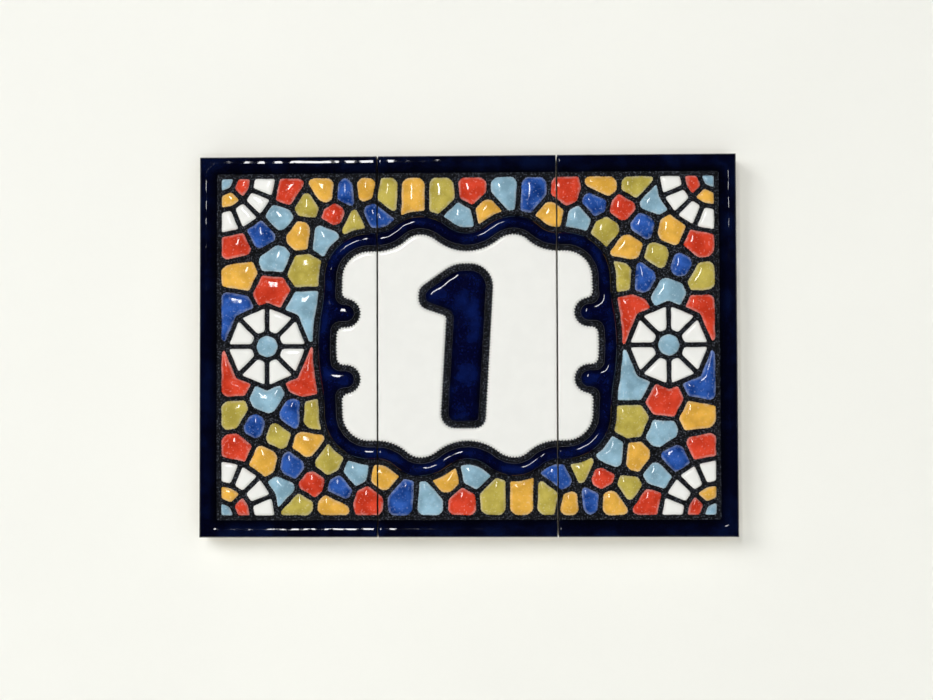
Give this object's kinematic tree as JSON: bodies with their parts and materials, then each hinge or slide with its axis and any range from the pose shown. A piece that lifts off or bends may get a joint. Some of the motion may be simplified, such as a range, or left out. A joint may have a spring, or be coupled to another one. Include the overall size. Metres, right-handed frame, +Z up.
{
  "type": "house number",
  "caption": "Ceramic relief tiles set side by side: a white numeral panel in a wavy navy cartouche, between end tiles with a mosaic field and a navy edge bead.",
  "frame": {"origin": "centre of the back of the numeral tile, on the wall plane", "axes": "+Z up, +X to the right as seen from the front, +Y into the wall, glazed faces towards -Y"},
  "size_m": [0.1056, 0.0073, 0.075],
  "materials": {
    "glazed_tile": "gloss"
  },
  "bodies": {
    "root": {"left_end_tile": "glazed_tile", "numeral_tile": "glazed_tile", "right_end_tile": "glazed_tile"}
  },
  "joints": []
}
